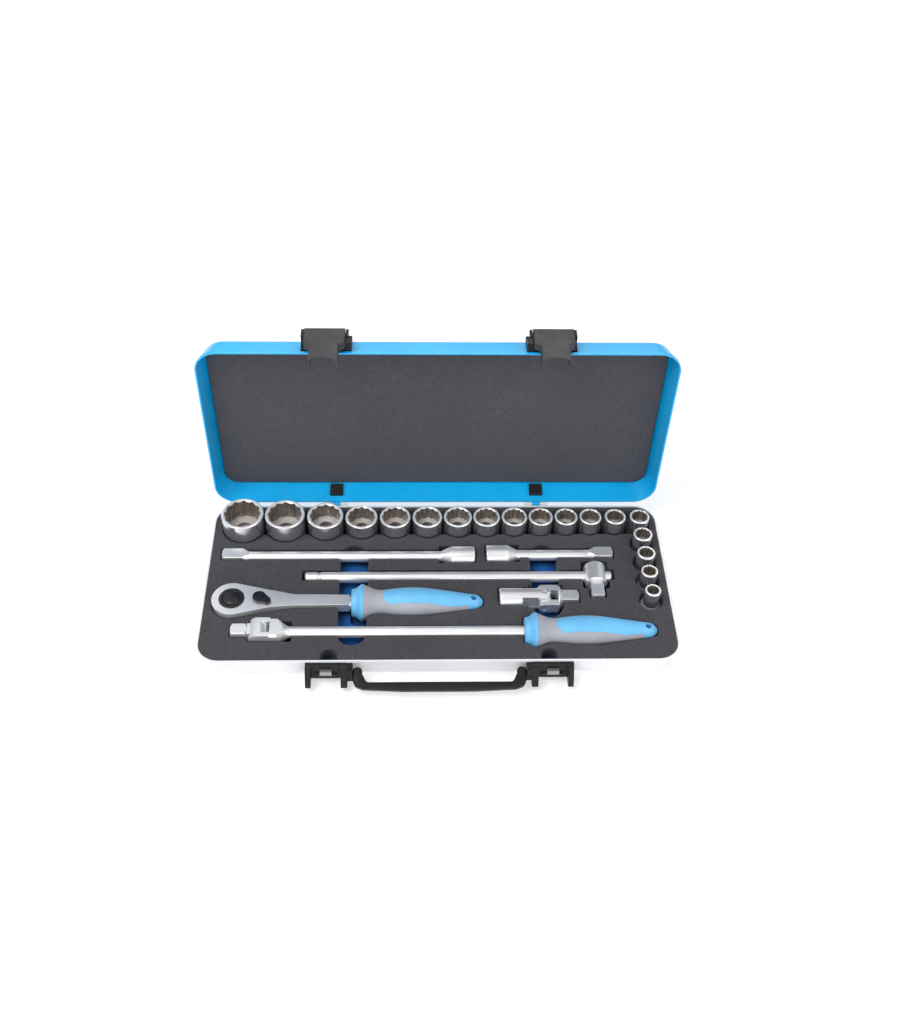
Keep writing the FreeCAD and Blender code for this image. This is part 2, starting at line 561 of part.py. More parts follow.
def lever_and_mount(side, span):
    nose, wide = "lever_nose_w / 2", "lever_w / 2"
    face = ((f"-{nose}", "lever_low"), (nose, "lever_low"), (nose, "lever_shoulder - 4"),
            (wide, "lever_shoulder"), (wide, "lever_top"), (f"-{wide}", "lever_top"),
            (f"-{wide}", "lever_shoulder"), (f"-{nose}", "lever_shoulder - 4"))
    skin = "lever_skin"
    hollow = ((f"-{nose} + {skin}", "lever_low - 3"), (f"{nose} - {skin}", "lever_low - 3"),
              (f"{nose} - {skin}", "lever_shoulder - 3.4"), (f"{wide} - {skin}", "lever_shoulder + 0.6"),
              (f"{wide} - {skin}", f"lever_top - {skin}"), (f"-{wide} + {skin}", f"lever_top - {skin}"),
              (f"-{wide} + {skin}", "lever_shoulder + 0.6"), (f"-{nose} + {skin}", "lever_shoulder - 3.4"))
    centre = "latch_x" if side == "right" else "-latch_x"
    shell = padded(f"lever_form_{side}", "XZ_Plane", face, "lever_front - lever_back")
    round_edges(shell, "1.6", lambda edge: all(p.y < -1 for p in ends(edge)))
    stand(shell, x=centre, y="-lever_back")
    inside = padded(f"lever_hollow_{side}", "XZ_Plane", hollow, "lever_front - lever_back - lever_skin + 1")
    stand(inside, x=centre, y="-lever_back + 1")
    scoop = cylinder(f"lever_scoop_{side}", "scoop_r", "30", centre, "-lever_front - 5",
                     "lever_low - scoop_r + scoop_rise", ALONG_Y)
    swing = cylinder(f"lever_bore_{side}", "pivot_r + run_gap", "lever_w + 8", f"{centre} - lever_w / 2 - 4",
                     "-lever_pivot_y", "lever_pivot_z", ALONG_X)
    corner = block(f"lever_corner_{side}", (f"{centre} - lever_w", f"{centre} + lever_w"),
                   ("-lever_back - 1", "-lever_back + 1"), ("lever_pivot_z + pivot_r", "lever_top + 2"))
    open_lid(cut(f"latch_lever_{side}", shell, [inside, scoop, swing, corner]))
    mount = [
        block(f"mount_plate_{side}", span("-lever_w / 2 - 6", "lever_w / 2 + 3"),
              ("-mount_front", "-mount_back"), ("lever_shoulder + 1.5", "lever_top + 1.5")),
        block(f"mount_block_{side}", span("-lever_w / 2 - 6", "-lever_w / 2 - 0.4"),
              ("-lever_pivot_y - 3.4", "-mount_back"), ("lever_shoulder + 0.5", "lever_shoulder + 8.5")),
    ]
    for end, ear in (("out", span("lever_w / 2 + 0.4", "lever_w / 2 + 3")),
                     ("in", span("-lever_w / 2 - 3", "-lever_w / 2 - 0.4"))):
        mount.append(block(f"mount_ear_{end}_{side}", ear, ("-lever_pivot_y - 3", "-mount_back"),
                           ("lever_pivot_z - 6", "lever_top + 1.5")))
    seat = cylinder(f"mount_bore_{side}", "pivot_r", "lever_w + 20", f"{centre} - lever_w / 2 - 10",
                    "-lever_pivot_y", "lever_pivot_z", ALONG_X)
    open_lid(cut(f"latch_mount_{side}", fuse(f"mount_{side}", mount), [lid_outside, lid_hem, seat]))


latch_side("left", -1)
latch_side("right", 1)

catches, latch_pins = [], []
for side, sign in (("left", "-"), ("right", "")):
    centre = f"({sign}latch_x)"
    x = (f"{centre} - catch_w / 2 + 0.02", f"{centre} + catch_w / 2 - 0.02")
    catches.append(fuse(f"catch_{side}", [
        block(f"catch_tongue_{side}", x, ("-catch_front", "-plate_front + catch_t"),
              ("catch_top - catch_t", "catch_top")),
        block(f"catch_lip_{side}", x, ("-catch_front", "-catch_front + catch_t"), ("catch_low", "catch_top")),
        block(f"catch_back_{side}", x, ("-plate_front", "-plate_front + catch_t"),
              ("catch_low", "catch_top")),
    ]))
    latch_pins.append(cylinder(f"latch_pin_{side}", "pivot_r - 0.01", "lever_w + 6",
                               f"{centre} - lever_w / 2 - 3", "-lever_pivot_y", "lever_pivot_z", ALONG_X))
group("catch_plates", catches)
open_lid(group("latch_pins", latch_pins))


# ------------------------------------------------------------------ carrying handle
handle_half_outline = (
    ("handle_half", "-3.4"), ("handle_half", "9"), ("handle_half - 2.6", "15.5"),
    ("handle_half - 10", "handle_reach - 2.2"), ("handle_half * 0.42", "handle_reach - 0.5"),
    ("handle_half * 0.42", "handle_reach - handle_mid_w + 0.4"),
    ("handle_half - 13", "handle_reach - handle_end_w - 1"), ("handle_half - handle_arm", "3"),
    ("handle_half - handle_arm", "-3.4"),
)
outer, inner = handle_half_outline[:5], handle_half_outline[5:]
handle_corners = list(outer) + [(f"-({x})", y) for x, y in reversed(outer)]
handle_corners += [(f"-({x})", y) for x, y in reversed(inner)] + list(inner)


def tilt_handle(obj):
    """Hang a piece drawn flat, reaching along +Y, out in front of its pivot."""
    obj.setExpression("Placement", named(
        "placement(vector(0; 0 - handle_pivot_y; handle_pivot_z);"
        " rotation(vector(1; 0; 0); 180 + handle_tilt))"))
    return obj


handle_form = padded("handle_form", "XY_Plane", handle_corners, "handle_t", midplane=True)
round_edges(handle_form, "handle_corner", is_upright)
round_edges(handle_form, "handle_round", lambda edge: not is_upright(edge))
handle_bores, handle_pins = [], []
for side, sign in (("left", -1), ("right", 1)):
    start = "handle_half - handle_arm + 3" if sign > 0 else "-handle_half - handle_pin_l + handle_arm - 3"
    handle_bores.append(cylinder(f"handle_seat_{side}", "handle_pin_r", "handle_pin_l", start, turn=ALONG_X))
    handle_pins.append(cylinder(f"handle_pin_{side}", "handle_pin_r - 0.01", "handle_pin_l", start,
                                turn=ALONG_X))
tilt_handle(cut("carry_handle", handle_form, handle_bores))
tilt_handle(group("handle_pins", handle_pins))


# ------------------------------------------------------------------ sockets
def hexagon(name, flats, height, turn, z):
    """Hexagonal prism by its width across flats, from a height upwards."""
    obj = doc.addObject("Part::Prism", name)
    obj.Polygon = 6
    bind(obj, Circumradius=f"({flats}) / sqrt(3)", Height=height)
    obj.Placement = FreeCAD.Placement(V(), Rotation(V(0, 0, 1), turn))
    bind(obj, **{"Placement.Base.z": z})
    return obj


def socket(flats):
    """Twelve-point socket standing on its drive end, with a round hole from the broach to the square."""
    radius, length, across = f"od_{flats} / 2", f"len_{flats}", f"flats_{flats}"
    if flats <= mm("foot_largest"):
        side = (("0", "foot_d / 2 - 0.8"), ("0.8", "foot_d / 2"), ("foot_h", "foot_d / 2"),
                ("foot_h + foot_taper", radius))
    else:
        side = (("0", f"{radius} - 0.8"), ("0.8", radius))
    profile = (("0", "0"),) + side + ((f"{length} - mouth_chamfer", radius),
                                      (length, f"{radius} - mouth_chamfer"), (length, "0"))
    form = turned(f"form_{flats}", "Z", profile)
    web_top, half = f"{length} - broach_{flats}", "drive_fit / 2"
    tools = [
        hexagon(f"hex_a_{flats}", f"{across} + 0.2", f"broach_{flats} + 1", 0, web_top),
        hexagon(f"hex_b_{flats}", f"{across} + 0.2", f"broach_{flats} + 1", 30, web_top),
        cone(f"mouth_{flats}", f"{across} / 2", f"{across} / sqrt(3) + 0.5", "1.6", z=f"{length} - 1.5"),
        cylinder(f"web_hole_{flats}", f"{across} * 0.22 + 1.2", f"{web_top} - drive_depth + 2",
                 z="drive_depth - 1"),
        block(f"drive_hole_{flats}", (f"-{half}", half), (f"-{half}", half), ("-1", "drive_depth")),
    ]
    return stand(cut(f"socket_{flats}", form, tools), f"x_{flats}", f"y_{flats}", "socket_seat")


for flats, *_ in SOCKETS:
    socket(flats)


# ------------------------------------------------------------------ square drives
def male_drive(name, length, shoulder="6"):
    """Square drive whose tip is at x = 0; its corners run out on a cone behind the shoulder."""
    half = "drive / 2"
    corners = ((f"-{half}", f"-{half}"), (half, f"-{half}"), (half, half), (f"-{half}", half))
    square = padded(name + "_square", "YZ_Plane", corners, f"({length}) + {shoulder}")
    envelope = turned(name + "_envelope", "X", (
        ("0", "0"), ("0", "drive / 2 - 0.2"), ("drive_chamfer + 0.6", "drive * 0.68"),
        (f"({length}) - 1", "drive * 0.68"), (f"({length}) + {shoulder}", "bar_r"),
        (f"({length}) + {shoulder}", "0")))
    seat = cylinder(name + "_ball_seat", "ball_r + run_gap", "5", f"({length}) * 0.45",
                    "drive / 2 - 4.6", "0", ALONG_Y)
    return cut(name, common(name + "_blank", [square, envelope]), [seat])


def female_hole(name, end):
    """Square hole that opens at the end of a bar, along X."""
    half = "drive_fit / 2"
    return block(name, (f"({end}) - female_depth", f"({end}) + 1"), (f"-{half}", half), (f"-{half}", half))


def extension(name, x, y, total, male, taper, female, ball_x, ball_side, turn):
    """Extension bar from its male drive's tip: square, round bar, female drive, and a detent ball."""
    bar = turned(name + "_bar", "X", (
        (f"{male} + 2", "0"), (f"{male} + 2", "bar_r"), (f"{total} - {female} - {taper}", "bar_r"),
        (f"{total} - {female}", "female_r"), (f"{total} - 0.9", "female_r"),
        (total, "female_r - 0.9"), (total, "0")))
    round_edges(bar, "4", circle_at(mm(total) - mm(female) - mm(taper)))
    blank = fuse(name + "_blank", [male_drive(name + "_male", male), bar])
    side_hole = cylinder(name + "_side_hole", "2.2", "12", f"{total} - 8", "-12", "0", ALONG_Y)
    stand(cut(name, blank, [female_hole(name + "_hole", total), side_hole]), x, y, "bar_z",
          Rotation(V(0, 0, 1), turn))
    sphere(name + "_ball", "ball_r", ball_x, f"{y} {ball_side} (drive / 2 - 1.8)", "bar_z")


extension("extension_long", "ext_x", "ext_y", "ext_len", "ext_male", "ext_taper", "ext_female",
          "ext_x + ext_male * 0.45", "+", 0)
extension("extension_short", "short_x + short_len", "short_y", "short_len", "short_male", "short_taper",
          "short_female", "short_x + short_len - short_male * 0.45", "-", 180)


# ------------------------------------------------------------------ sliding T-handle
tee_bar = turned("tee_bar", "X", (
    ("0", "0"), ("0", "bar_r - 1.2"), ("1.2", "bar_r"), ("tee_ring_x - tee_x - 2", "bar_r"),
    ("tee_ring_x - tee_x - 1.2", "bar_r - 0.8"), ("tee_ring_x - tee_x + 1.2", "bar_r - 0.8"),
    ("tee_ring_x - tee_x + 2", "bar_r"), ("tee_len - 1.2", "bar_r"), ("tee_len", "bar_r - 1.2"),
    ("tee_len", "0")))
stand(tee_bar, "tee_x", "tee_y", "bar_z")

head_l = "(tee_head_front + tee_head_back)"
head_round = turned("tee_head_round", "X", (
    ("tee_drive + 0.2", "0"), ("tee_drive + 0.2", "tee_head_r - 1.6"), ("tee_drive + 1.6", "tee_head_r"),
    (f"tee_drive + {head_l} - 1.6", "tee_head_r"), (f"tee_drive + {head_l}", "tee_head_r - 1.6"),
    (f"tee_drive + {head_l}", "0")))
head_blank = fuse("tee_head_blank", [male_drive("tee_head_male", "tee_drive"), head_round])
head_bore = cylinder("tee_head_bore", "bar_r + run_gap", "40", "tee_drive + tee_head_front", "20", "0",
                     Rotation(V(1, 0, 0), 90))
ball_seat = cylinder("tee_ball_seat", "ball_r + run_gap", "bar_r + 2 * ball_r + 0.3",
                     "tee_drive + tee_head_front")
tee_head = cut("tee_head", head_blank, [head_bore, ball_seat])
tee_head.Placement = FreeCAD.Placement(V(), Rotation(V(0, 0, 1), 90))
stand(tee_head, "tee_head_x", "tee_y - tee_head_front - tee_drive", "bar_z", Rotation(V(0, 0, 1), 90))
sphere("tee_ball", "ball_r", "tee_head_x", "tee_y", "bar_z + bar_r + ball_r + run_gap")


# ------------------------------------------------------------------ sculpted grips
def grip(prefix, x, y, z):
    """Two-colour grip: a grey body, and one blue moulding with the collar, top inlay and tip."""
    form = turned(prefix + "_grip_form", "X", (
        ("0", "0"), ("0", "grip_collar_r - 1"), ("0.8", "grip_collar_r"),
        ("grip_flange_x - 6", "grip_collar_r + 0.9"),
        ("grip_flange_x - 1.2", "grip_flange_r"), ("grip_flange_x + 0.8", "grip_flange_r"),
        ("grip_neck_x", "grip_neck_r"), ("grip_belly_x", "grip_belly_r"),
        ("grip_l - 4.6", "grip_tip_r"), ("grip_l", "grip_tip_r - 4.6"), ("grip_l", "0")))
    round_edges(form, "22", circle_at(mm("grip_neck_x")))
    round_edges(form, "150", circle_at(mm("grip_belly_x")))
    round_edges(form, "8", circle_at(mm("grip_l") - 4.6))
    round_edges(form, "2.6", circle_at(mm("grip_l")))
    round_edges(form, "0.9", circle_at(mm("grip_flange_x") - 1.2))
    hole = cylinder(prefix + "_hang_hole", "grip_hole_r", "60", "grip_hole_x", "0", "-30")
    bore = cylinder(prefix + "_shank_bore", "bar_r + 0.8", "66", "-1", "0", "0", ALONG_X)
    sound = cut(prefix + "_grip_sound", form, [hole, bore])
    wide = ("-inlay_half", "inlay_half")
    tall = ("-30", "30")
    zone = fuse(prefix + "_trim_zone", [
        block(prefix + "_collar_zone", ("-5", "grip_split_x"), tall, tall),
        block(prefix + "_inlay_zone", ("inlay_x + inlay_half", "grip_l + 2"), wide, ("inlay_floor", "30")),
        cylinder(prefix + "_inlay_start", "inlay_half", "30 - inlay_floor", "inlay_x + inlay_half", "0",
                 "inlay_floor"),
        block(prefix + "_tip_zone", ("inlay_tip", "grip_l + 2"), tall, tall),
        block(prefix + "_link_zone", ("grip_split_x - 3", "inlay_x + inlay_half"), ("-3", "3"),
              ("inlay_floor + 2", "inlay_floor + 3.4")),
    ])
    stand(common(prefix + "_trim", [sound, zone]), x, y, z)
    stand(cut(prefix + "_grip", sound, [zone]), x, y, z)


grip("ratchet", "rat_grip_x", "rat_y", "rat_axis_z")
grip("breaker", "brk_grip_x", "brk_y", "brk_z")


# ------------------------------------------------------------------ ratchet
def mirrored(points):
    """Closed outline from its points on one side, mirrored across y = 0."""
    return list(points) + [(x, f"-({y})") for x, y in reversed(points)]


plan = padded("ratchet_plan", "XY_Plane", mirrored((
    ("rat_x + rat_head_r * 0.214", "rat_head_r * 0.977"), ("rat_neck_x - 22", "rat_neck_w + 3.6"),
    ("rat_neck_x", "rat_neck_w"), ("rat_shaft_end", "rat_shaft_w"))), "60")
round_edges(plan, "60", lambda edge: is_upright(edge) and abs(ends(edge)[0].x - mm("rat_neck_x")) < 1e-3)
head_disc = cylinder("ratchet_head_disc", "rat_head_r", "60", "rat_x", "0", "0")
profile = padded("ratchet_profile", "XZ_Plane", (
    ("rat_x - 30", "rat_low"), ("rat_x + 24", "rat_low"), ("rat_neck_x", "rat_axis_z - 5.4"),
    ("rat_shaft_end", "rat_axis_z - 5.2"), ("rat_shaft_end", "rat_axis_z + 5.2"),
    ("rat_neck_x", "rat_axis_z + 5.4"), ("rat_x + 40", "rat_top"), ("rat_x - 30", "rat_top")),
    "60", midplane=True)
forging = common("ratchet_forging", [fuse("ratchet_plan_solid", [plan, head_disc]), profile])
sleeve = cylinder("ratchet_sleeve", "bar_r + 0.78", "100", "rat_grip_x - 2", "0", "rat_axis_z", ALONG_X)
tail_zone = block("ratchet_tail_zone", ("rat_grip_x - 2", "0"), ("-20", "20"), ("0", "60"))
tail_waste = cut("ratchet_tail_waste", tail_zone, [sleeve])
pawl_room = block("pawl_room", ("rat_x + 12", "rat_lever_x - 3.4"), ("-4.6", "4.6"), ("18.6", "25.6"))
ratchet_handle = cut("ratchet_handle", forging, [
    tail_waste, pawl_room,
    cylinder("gear_bore", "rat_bore_r", "rat_top - 3 - rat_low + 1", "rat_x", "0", "rat_low - 1"),
    cylinder("button_bore", "rat_button_r + 0.2", "30", "rat_x", "0", "rat_low"),
    cylinder("ring_seat", "rat_ring_r + 0.02", "5", "rat_x", "0", "rat_top - 0.7"),
    cylinder("lever_bore", "rat_stem_r + run_gap", "20", "rat_lever_x", "0", "rat_axis_z - 1"),
])
stand(ratchet_handle, y="rat_y")
ring = cut("ratchet_cover", cylinder("ring_blank", "rat_ring_r", "rat_ring_t"),
           [cylinder("ring_eye", "rat_button_r + 0.35", "9", z="-1")])
stand(ring, "rat_x", "rat_y", "rat_top - 0.7")

toothed = []
for turn in (0, 15):
    teeth = doc.addObject("Part::Prism", f"gear_teeth_{turn}")
    teeth.Polygon = 12
    bind(teeth, Circumradius="rat_gear_r", Height="rat_top - 5 - rat_low - 1.4")
    teeth.Placement = FreeCAD.Placement(V(), Rotation(V(0, 0, 1), turn))
    toothed.append(teeth)
drive_stub = male_drive("ratchet_square", "rat_low + 1.4 - rat_drive_low", "3")
stand(drive_stub, z="rat_drive_low - rat_low - 1.4", turn=Rotation(V(0, 1, 0), -90))
drive = cut("ratchet_drive", fuse("drive_blank", toothed + [drive_stub]),
            [cylinder("drive_stem_bore", "rat_plunger_r + 0.1", "60", z="-8")])
stand(drive, "rat_x", "rat_y", "rat_low + 1.4")
button = turned("ratchet_button", "Z", (
    ("0", "0"), ("0", "rat_plunger_r"), ("5", "rat_plunger_r"), ("5", "rat_button_r"),
    ("8.6", "rat_button_r"), ("9.7", "rat_button_r - 1.1"), ("10.4", "rat_button_r - 3.6"), ("10.7", "0")))
round_edges(button, "1", circle_height(8.6))
stand(button, "rat_x", "rat_y", "rat_top + rat_button_rise - 10.7")
tip_r = "rat_lever_r - 2.4"
tip_x = "rat_lever_reach - rat_lever_r + 2.4"
lever_parts = [
    cylinder("rev_disc", "rat_lever_r", "rat_lever_t", z="0.3"),
    cylinder("rev_stem", "rat_stem_r", "7", z="-6.7"),
    cylinder("rev_tip", tip_r, "rat_lever_t - 0.4", tip_x, z="0.3"),
    stand(padded("rev_arm", "XY_Plane", (
        ("0", "-rat_lever_r"), (tip_x, f"-({tip_r})"), (tip_x, tip_r), ("0", "rat_lever_r")),
        "rat_lever_t - 0.4"), z="0.3"),
]
reverser = fuse("ratchet_lever", lever_parts)
stand(reverser, "rat_lever_x", "rat_y", "rat_top", Rotation(V(0, 0, 1), mm("rat_lever_angle")))
block("ratchet_pawl", ("rat_x + 13.1", "rat_lever_x - 3.9"), ("rat_y - 4", "rat_y + 4"), ("19", "25.2"))


# ------------------------------------------------------------------ breaker bar
fork_half = "(brk_tongue + brk_ear)"
shank = turned("breaker_shank", "X", (
    ("brk_crotch", "0"), ("brk_crotch", "13"), ("brk_fork_end", "13"), ("brk_taper", "bar_r"),
    ("brk_grip_x + 62", "bar_r"), ("brk_grip_x + 62", "0")))
round_edges(shank, "9", circle_at(mm("brk_taper")))
ear_blank = [
    block("fork_block", ("brk_pin_x", "brk_taper"), (f"-{fork_half}", fork_half), ("-9", "9")),
    cylinder("fork_eye", "9", f"2 * {fork_half}", "brk_pin_x", f"-{fork_half}", "0", ALONG_Y),
    block("fork_shank_zone", ("brk_taper - 0.5", "brk_grip_x + 70"), ("-14", "14"), ("-14", "14")),
]
ear_zone = fuse("fork_zone", [
    shank, block("fork_ear_zone", ("brk_pin_x - 10", "brk_crotch + 0.01"), ("-12", "12"), ("-12", "12"))])
fork = common("fork_blank", [fuse("fork_outside", ear_blank), ear_zone])
tongue_gap = "brk_tongue + run_gap"
breaker_bar = cut("breaker_bar", fork, [
    block("fork_slot", ("brk_pin_x - 12", "brk_crotch"), (f"-({tongue_gap})", tongue_gap), ("-12", "12")),
    cylinder("fork_pin_hole", "brk_pin_r", "40", "brk_pin_x", "-20", "0", ALONG_Y),
])
stand(breaker_bar, y="brk_y", z="brk_z")
knuckle_blank = [
    cylinder("tongue_disc", "brk_knuckle_r", "2 * brk_tongue", "brk_pin_x", "-brk_tongue", "0", ALONG_Y),
    block("tongue_neck", ("brk_x + brk_drive - 0.5", "brk_pin_x"), ("-brk_tongue", "brk_tongue"),
          ("-drive / 2", "drive / 2")),
    stand(male_drive("breaker_male", "brk_drive - 1", "1"), "brk_x"),
]
breaker_head = cut("breaker_head", fuse("breaker_head_blank", knuckle_blank), [
    cylinder("tongue_pin_hole", "brk_pin_r + run_gap", "40", "brk_pin_x", "-20", "0", ALONG_Y)])
stand(breaker_head, y="brk_y", z="brk_z")
cylinder("breaker_pin", "brk_pin_r - 0.01", f"2 * {fork_half} - 0.4", "brk_pin_x",
         f"brk_y - {fork_half} + 0.2", "brk_z", ALONG_Y)


# ------------------------------------------------------------------ universal joint
centre = "(uj_centre - uj_x)"
yoke_round = turned("uj_round", "X", (
    ("0", "0"), ("0", "female_r - 0.9"), ("0.9", "female_r"), ("56", "female_r"), ("56", "0")))
yoke_zone = [block("uj_barrel_zone", ("-1", "uj_female"), ("-20", "20"), ("-20", "20"))]
for name, low, high in (("top", "uj_cross + uj_gap", "20"), ("bottom", "-20", "-uj_cross - uj_gap")):
    yoke_zone.append(block(f"uj_arm_{name}", ("uj_female - 1", centre), ("-uj_eye_r", "uj_eye_r"),
                           (low, high)))
    yoke_zone.append(cylinder(f"uj_eye_{name}", "uj_eye_r", f"({high}) - ({low})", centre, "0", low))
square_room = ("-drive_fit / 2", "drive_fit / 2")
socket_yoke = cut("uj_socket_yoke", common("uj_socket_blank", [yoke_round, fuse("uj_zone", yoke_zone)]), [
    block("uj_hole", ("-1", "female_depth"), square_room, square_room),
    cylinder("uj_eye_hole", "uj_pin_r + run_gap", "40", centre, "0", "-20")])
stand(socket_yoke, "uj_x", "uj_y", "bar_z")
side_arm = "(uj_cross + uj_gap)"
arm_out = f"({side_arm} + uj_hub + 0.9)"
drive_pieces = [
    turned("uj_hub_form", "X", (
        ("uj_hub_x + 0.8", "0"), ("uj_hub_x + 0.8", "12.4"), ("uj_hub_x + 2.2", "12.2"),
        ("uj_hub_x + uj_hub", "8"), ("uj_hub_x + uj_hub", "0"))),
    stand(male_drive("uj_male", "uj_end - uj_hub_x - uj_hub + 1", "2"), "uj_end",
          turn=Rotation(V(0, 0, 1), 180)),
]
for name, low, high in (("back", side_arm, arm_out), ("front", f"-{arm_out}", f"-{side_arm}")):
    drive_pieces.append(block(f"uj_side_{name}", ("uj_centre", "uj_hub_x + 1.6"), (low, high),
                              ("-uj_eye_r", "uj_eye_r")))
    drive_pieces.append(cylinder(f"uj_side_eye_{name}", "uj_eye_r", f"({high}) - ({low})", "uj_centre", low,
                                 "0", ALONG_Y))
drive_yoke = cut("uj_drive_yoke", fuse("uj_drive_blank", drive_pieces), [
    cylinder("uj_side_hole", "uj_pin_r + run_gap", "40", "uj_centre", "-20", "0", ALONG_Y)])
stand(drive_yoke, y="uj_y", z="bar_z")
cross = fuse("uj_cross", [
    block("uj_cross_block", ("-uj_cross", "uj_cross"), ("-uj_cross", "uj_cross"), ("-uj_cross", "uj_cross")),
    cylinder("uj_pin_z", "uj_pin_r", "2 * female_r - 2", z="1 - female_r"),
    cylinder("uj_pin_y", "uj_pin_r", f"2 * {arm_out} - 0.6", y=f"-{arm_out} + 0.3", turn=ALONG_Y)])
stand(cross, "uj_centre", "uj_y", "bar_z")


# ------------------------------------------------------------------ check and write
NODES = (
    ["base_tray", "foam_top", "foam_bottom", "base_hinges", "hinge_pins", "latch_bracket_left",
     "latch_bracket_right", "catch_plates", "carry_handle", "handle_pins", "lid_shell", "lid_liner",
     "lid_hinges", "latch_mount_left", "latch_mount_right", "latch_pins", "latch_lever_left",
     "latch_lever_right"]
    + [f"socket_{flats}" for flats, *_ in SOCKETS]
    + ["extension_long", "extension_long_ball", "extension_short", "extension_short_ball",
       "tee_bar", "tee_ball", "tee_head", "ratchet_handle", "ratchet_cover", "ratchet_drive",
       "ratchet_button", "ratchet_lever", "ratchet_pawl", "ratchet_grip", "ratchet_trim", "breaker_bar", "breaker_head",
       "breaker_pin", "breaker_grip", "breaker_trim", "uj_socket_yoke", "uj_cross", "uj_drive_yoke"])

doc.recompute()
failed = [obj.Name for obj in doc.Objects if {"Invalid", "Error"} & set(obj.State)]
shapes = {}
for name in NODES:
    found = doc.getObject(name)
    shapes[name] = found.Shape
    if found.Shape.isNull() or not found.Shape.isValid() or not found.Shape.Solids:
        failed.append(name)
if failed:
    raise RuntimeError("failed: " + ", ".join(failed))
os.makedirs("parts", exist_ok=True)
for name, shape in shapes.items():
    shape.exportStep(f"parts/{name}.step")
    print(f"{name:22s} solids {len(shape.Solids)}  volume {shape.Volume / 1000:9.2f} cm3")
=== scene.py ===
"""Looks of a socket wrench set in its open steel case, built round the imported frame.

Everything is in metres, in the frame's own coordinates. Hard parts keep their CAD meshes and get
procedural finishes, with edges that are rounded in the shading only. The foam tray, its lower layer
and the lid's pad are rebuilt as soft pieces.
"""

import math

import bpy
import numpy
from mathutils import Matrix, Vector


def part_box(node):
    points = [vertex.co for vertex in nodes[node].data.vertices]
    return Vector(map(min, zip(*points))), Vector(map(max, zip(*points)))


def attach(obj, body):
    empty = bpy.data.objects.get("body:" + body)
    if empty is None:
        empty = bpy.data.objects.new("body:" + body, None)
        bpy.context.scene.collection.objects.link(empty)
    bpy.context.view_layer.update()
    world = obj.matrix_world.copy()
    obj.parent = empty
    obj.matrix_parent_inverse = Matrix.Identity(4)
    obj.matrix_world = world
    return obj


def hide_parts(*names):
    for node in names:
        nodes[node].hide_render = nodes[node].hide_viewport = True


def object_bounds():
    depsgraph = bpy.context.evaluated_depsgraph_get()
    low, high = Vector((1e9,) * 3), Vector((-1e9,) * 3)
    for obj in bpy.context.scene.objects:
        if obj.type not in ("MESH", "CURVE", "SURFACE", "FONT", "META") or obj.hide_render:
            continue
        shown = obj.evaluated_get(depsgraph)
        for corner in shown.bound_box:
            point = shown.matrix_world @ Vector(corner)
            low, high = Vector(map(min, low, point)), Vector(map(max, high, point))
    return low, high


MM = 0.001
OPEN_ANGLE = 89
WELD_GAP = 0.004 * MM

# A colour Mix node's sockets, which share their names with those for its other data types.
MIX_A = 6
MIX_B = 7
MIX_RESULT = 2

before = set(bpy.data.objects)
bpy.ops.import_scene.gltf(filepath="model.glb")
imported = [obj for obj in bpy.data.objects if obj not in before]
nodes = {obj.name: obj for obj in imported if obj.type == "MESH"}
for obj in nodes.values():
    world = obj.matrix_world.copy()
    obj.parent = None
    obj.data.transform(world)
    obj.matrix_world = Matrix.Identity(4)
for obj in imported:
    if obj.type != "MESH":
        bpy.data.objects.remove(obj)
cad_low, cad_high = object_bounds()


# ---------------------------------------------------------------- node-tree helpers

